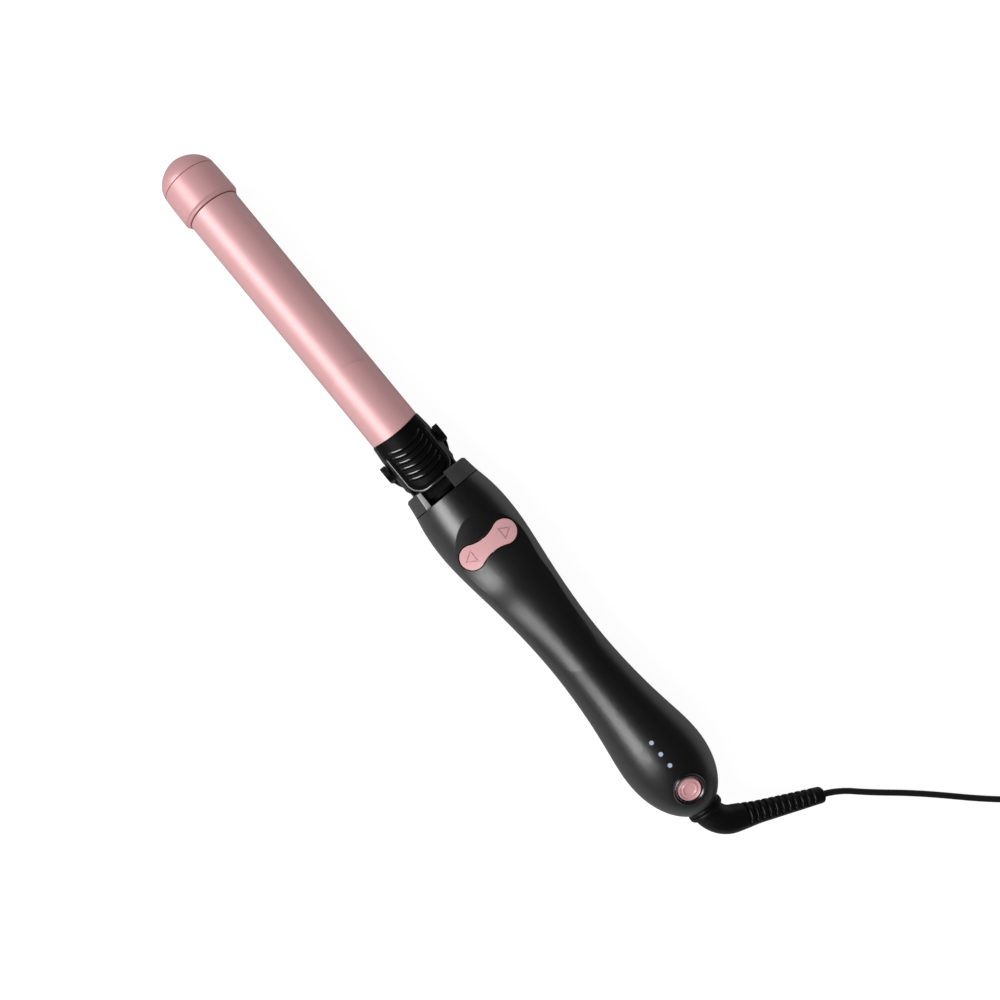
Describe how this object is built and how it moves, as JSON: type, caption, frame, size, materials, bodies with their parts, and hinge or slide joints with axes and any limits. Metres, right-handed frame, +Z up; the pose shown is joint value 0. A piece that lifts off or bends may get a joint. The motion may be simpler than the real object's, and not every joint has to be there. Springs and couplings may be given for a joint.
{
  "type": "rotating curling iron",
  "caption": "Rotating hair curling iron: round heated barrel with spring clamp and fold-out stand, turned by a geared motor in the handle, with swivel cord, cord coil and plug.",
  "frame": {"origin": "on the surface the iron lies on, below the long axis, midway between the barrel tip and the handle end", "axes": "+X along the iron from the barrel tip to the cord, +Y to the side the cord leaves to, +Z up, away from the surface"},
  "size_m": [0.6125, 0.1662, 0.0414],
  "materials": {
    "tip_plastic": "satin",
    "barrel_coat": "satin",
    "base_black": "satin",
    "dark_steel": "satin",
    "handle_shell": "satin",
    "collar_grey": "satin",
    "rocker_pink": "satin",
    "bezel_dark": "gloss",
    "cord_black": "satin",
    "plug_black": "satin",
    "blade_brass": "bright",
    "steel": "satin",
    "spring_steel": "satin",
    "aluminium": "satin",
    "ceramic": "matt",
    "mica": "matt",
    "copper": "satin",
    "carbon": "matt",
    "nylon_white": "satin",
    "frame_black": "matt",
    "board_green": "satin",
    "switch_black": "matt",
    "led_white": "clear",
    "relay_blue": "satin",
    "capacitor_sleeve": "satin",
    "wire_white": "satin"
  },
  "bodies": {
    "handle": {"upper_shell": "handle_shell", "lower_shell": "handle_shell", "front_collar": "collar_grey", "gear_frame": "frame_black", "front_bearing": "steel", "rear_bush": "blade_brass", "gearbox": "steel", "motor": "steel", "brush_holder": "frame_black", "brushes": "carbon", "switch_board": "board_green", "main_board": "board_green", "board_screws": "steel", "shell_screws": "steel", "rocker_switches": "switch_black", "power_switch": "switch_black", "rocker_pin": "steel", "indicator_leds": "led_white", "light_pipes": "led_white", "relay": "relay_blue", "capacitor": "capacitor_sleeve", "controller_chip": "carbon", "power_bezel": "bezel_dark", "power_spring": "spring_steel", "wire_harness": "wire_white", "swivel_bush": "nylon_white", "contact_holder": "nylon_white"},
    "barrel": {"tip_cap": "tip_plastic", "tip_collar": "tip_plastic", "barrel_tube": "barrel_coat", "heater_shoes": "aluminium", "heater_plate": "ceramic", "thermal_fuse": "ceramic", "thermistor": "ceramic", "barrel_insulator": "mica", "heater_leads": "wire_white", "base_housing": "base_black", "clamp_pin": "steel", "clamp_spring": "spring_steel", "stand_pins": "steel", "spindle": "dark_steel", "spindle_screws": "dark_steel", "spindle_clip": "spring_steel", "drive_gear": "nylon_white", "slip_hub": "nylon_white", "slip_rings": "copper"},
    "clamp": {"clamp_plate": "barrel_coat", "clamp_lever": "base_black", "clamp_rivets": "steel"},
    "stand": {"stand": "base_black"},
    "pinion": {"pinion_shaft": "steel"},
    "rocker": {"rocker": "rocker_pink"},
    "power_button": {"power_button": "rocker_pink"},
    "cord": {"swivel_core": "frame_black", "cord_elbow": "cord_black", "cord_run": "cord_black", "cord_coil": "cord_black", "cord_tail": "cord_black", "plug_body": "plug_black", "plug_blades": "blade_brass"}
  },
  "joints": [
    {"name": "barrel_spin", "type": "hinge", "parent": "handle", "child": "barrel", "pos_m": [0, 0, 0.0204], "axis": [1, 0, 0], "continuous": true},
    {"name": "pinion_spin", "type": "hinge", "parent": "handle", "child": "pinion", "pos_m": [0, 0, 0.0104], "axis": [1, 0, 0], "continuous": true},
    {"name": "clamp_hinge", "type": "hinge", "parent": "barrel", "child": "clamp", "pos_m": [-0.015, 0, 0.0274], "axis": [0, 1, 0], "range_deg": [0, 14], "stiffness_Nm_per_rad": 0.25, "springref_deg": -17.19, "deforming": ["clamp_spring"]},
    {"name": "stand_hinge", "type": "hinge", "parent": "barrel", "child": "stand", "pos_m": [-0.01725, 0, 0.0204], "axis": [0, 1, 0], "range_deg": [0, 90]},
    {"name": "rocker_tilt", "type": "hinge", "parent": "handle", "child": "rocker", "pos_m": [0.0363, 0, 0.0334], "axis": [1, 0, 0], "range_deg": [-4, 4], "stiffness_Nm_per_rad": 0.5},
    {"name": "power_press", "type": "slide", "parent": "handle", "child": "power_button", "axis": [-0.2924, 0, -0.9563], "range_m": [0, 0.0008], "stiffness_N_per_m": 800, "deforming": ["power_spring"]},
    {"name": "cord_swivel", "type": "hinge", "parent": "handle", "child": "cord", "pos_m": [0.186, 0, 0.0204], "axis": [1, 0, 0], "continuous": true}
  ],
  "couplings": [
    {"joint": "pinion_spin", "follows": "barrel_spin", "ratio": -2.3333}
  ]
}
